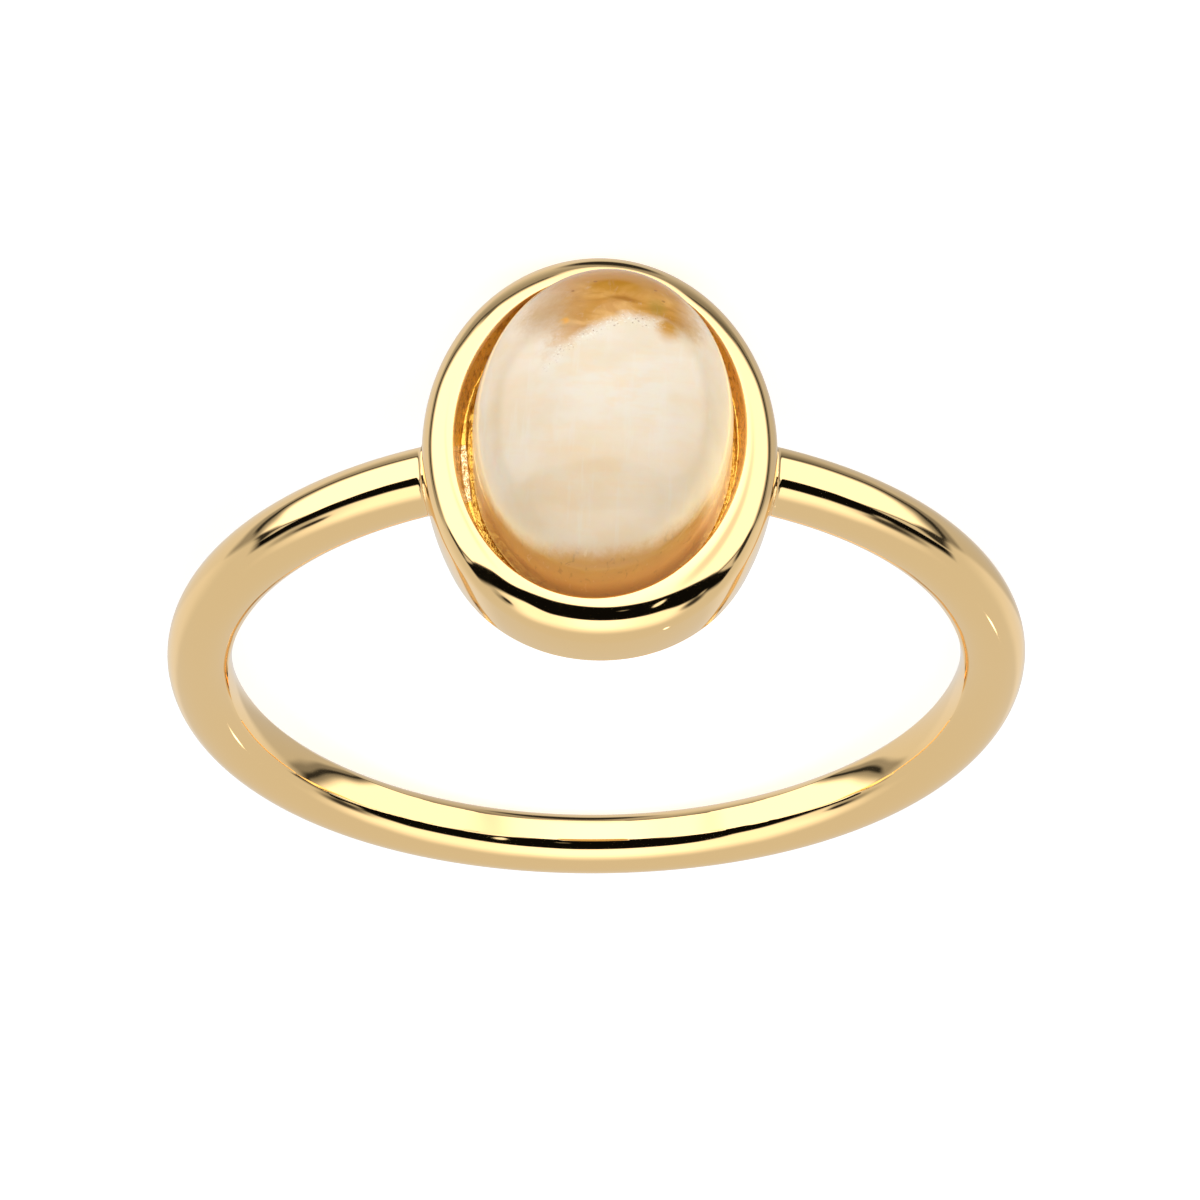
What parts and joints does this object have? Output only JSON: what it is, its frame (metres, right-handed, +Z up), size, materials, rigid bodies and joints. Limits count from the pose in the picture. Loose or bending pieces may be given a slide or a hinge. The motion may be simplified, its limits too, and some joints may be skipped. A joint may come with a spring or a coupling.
{
  "type": "citrine ring",
  "caption": "Gold finger ring lying on its side: slim round-wire band soldered to a tall oval bezel cup that holds a domed oval citrine cabochon.",
  "frame": {"origin": "on the surface the ring lies on, below the middle of its bounding box", "axes": "+Z up from the surface; the stone faces -Y and a little up; +X runs across the ring; the finger hole's axis leans 12.8 degrees from +Z towards +Y"},
  "size_m": [0.0204, 0.023, 0.01],
  "materials": {
    "gold": "polished yellow gold, rough cast inside the cup",
    "citrine": "polished milky translucent citrine, clearer and amber at both ends"
  },
  "bodies": {
    "root": {"band_with_bezel": "gold", "cabochon": "citrine"}
  },
  "joints": []
}
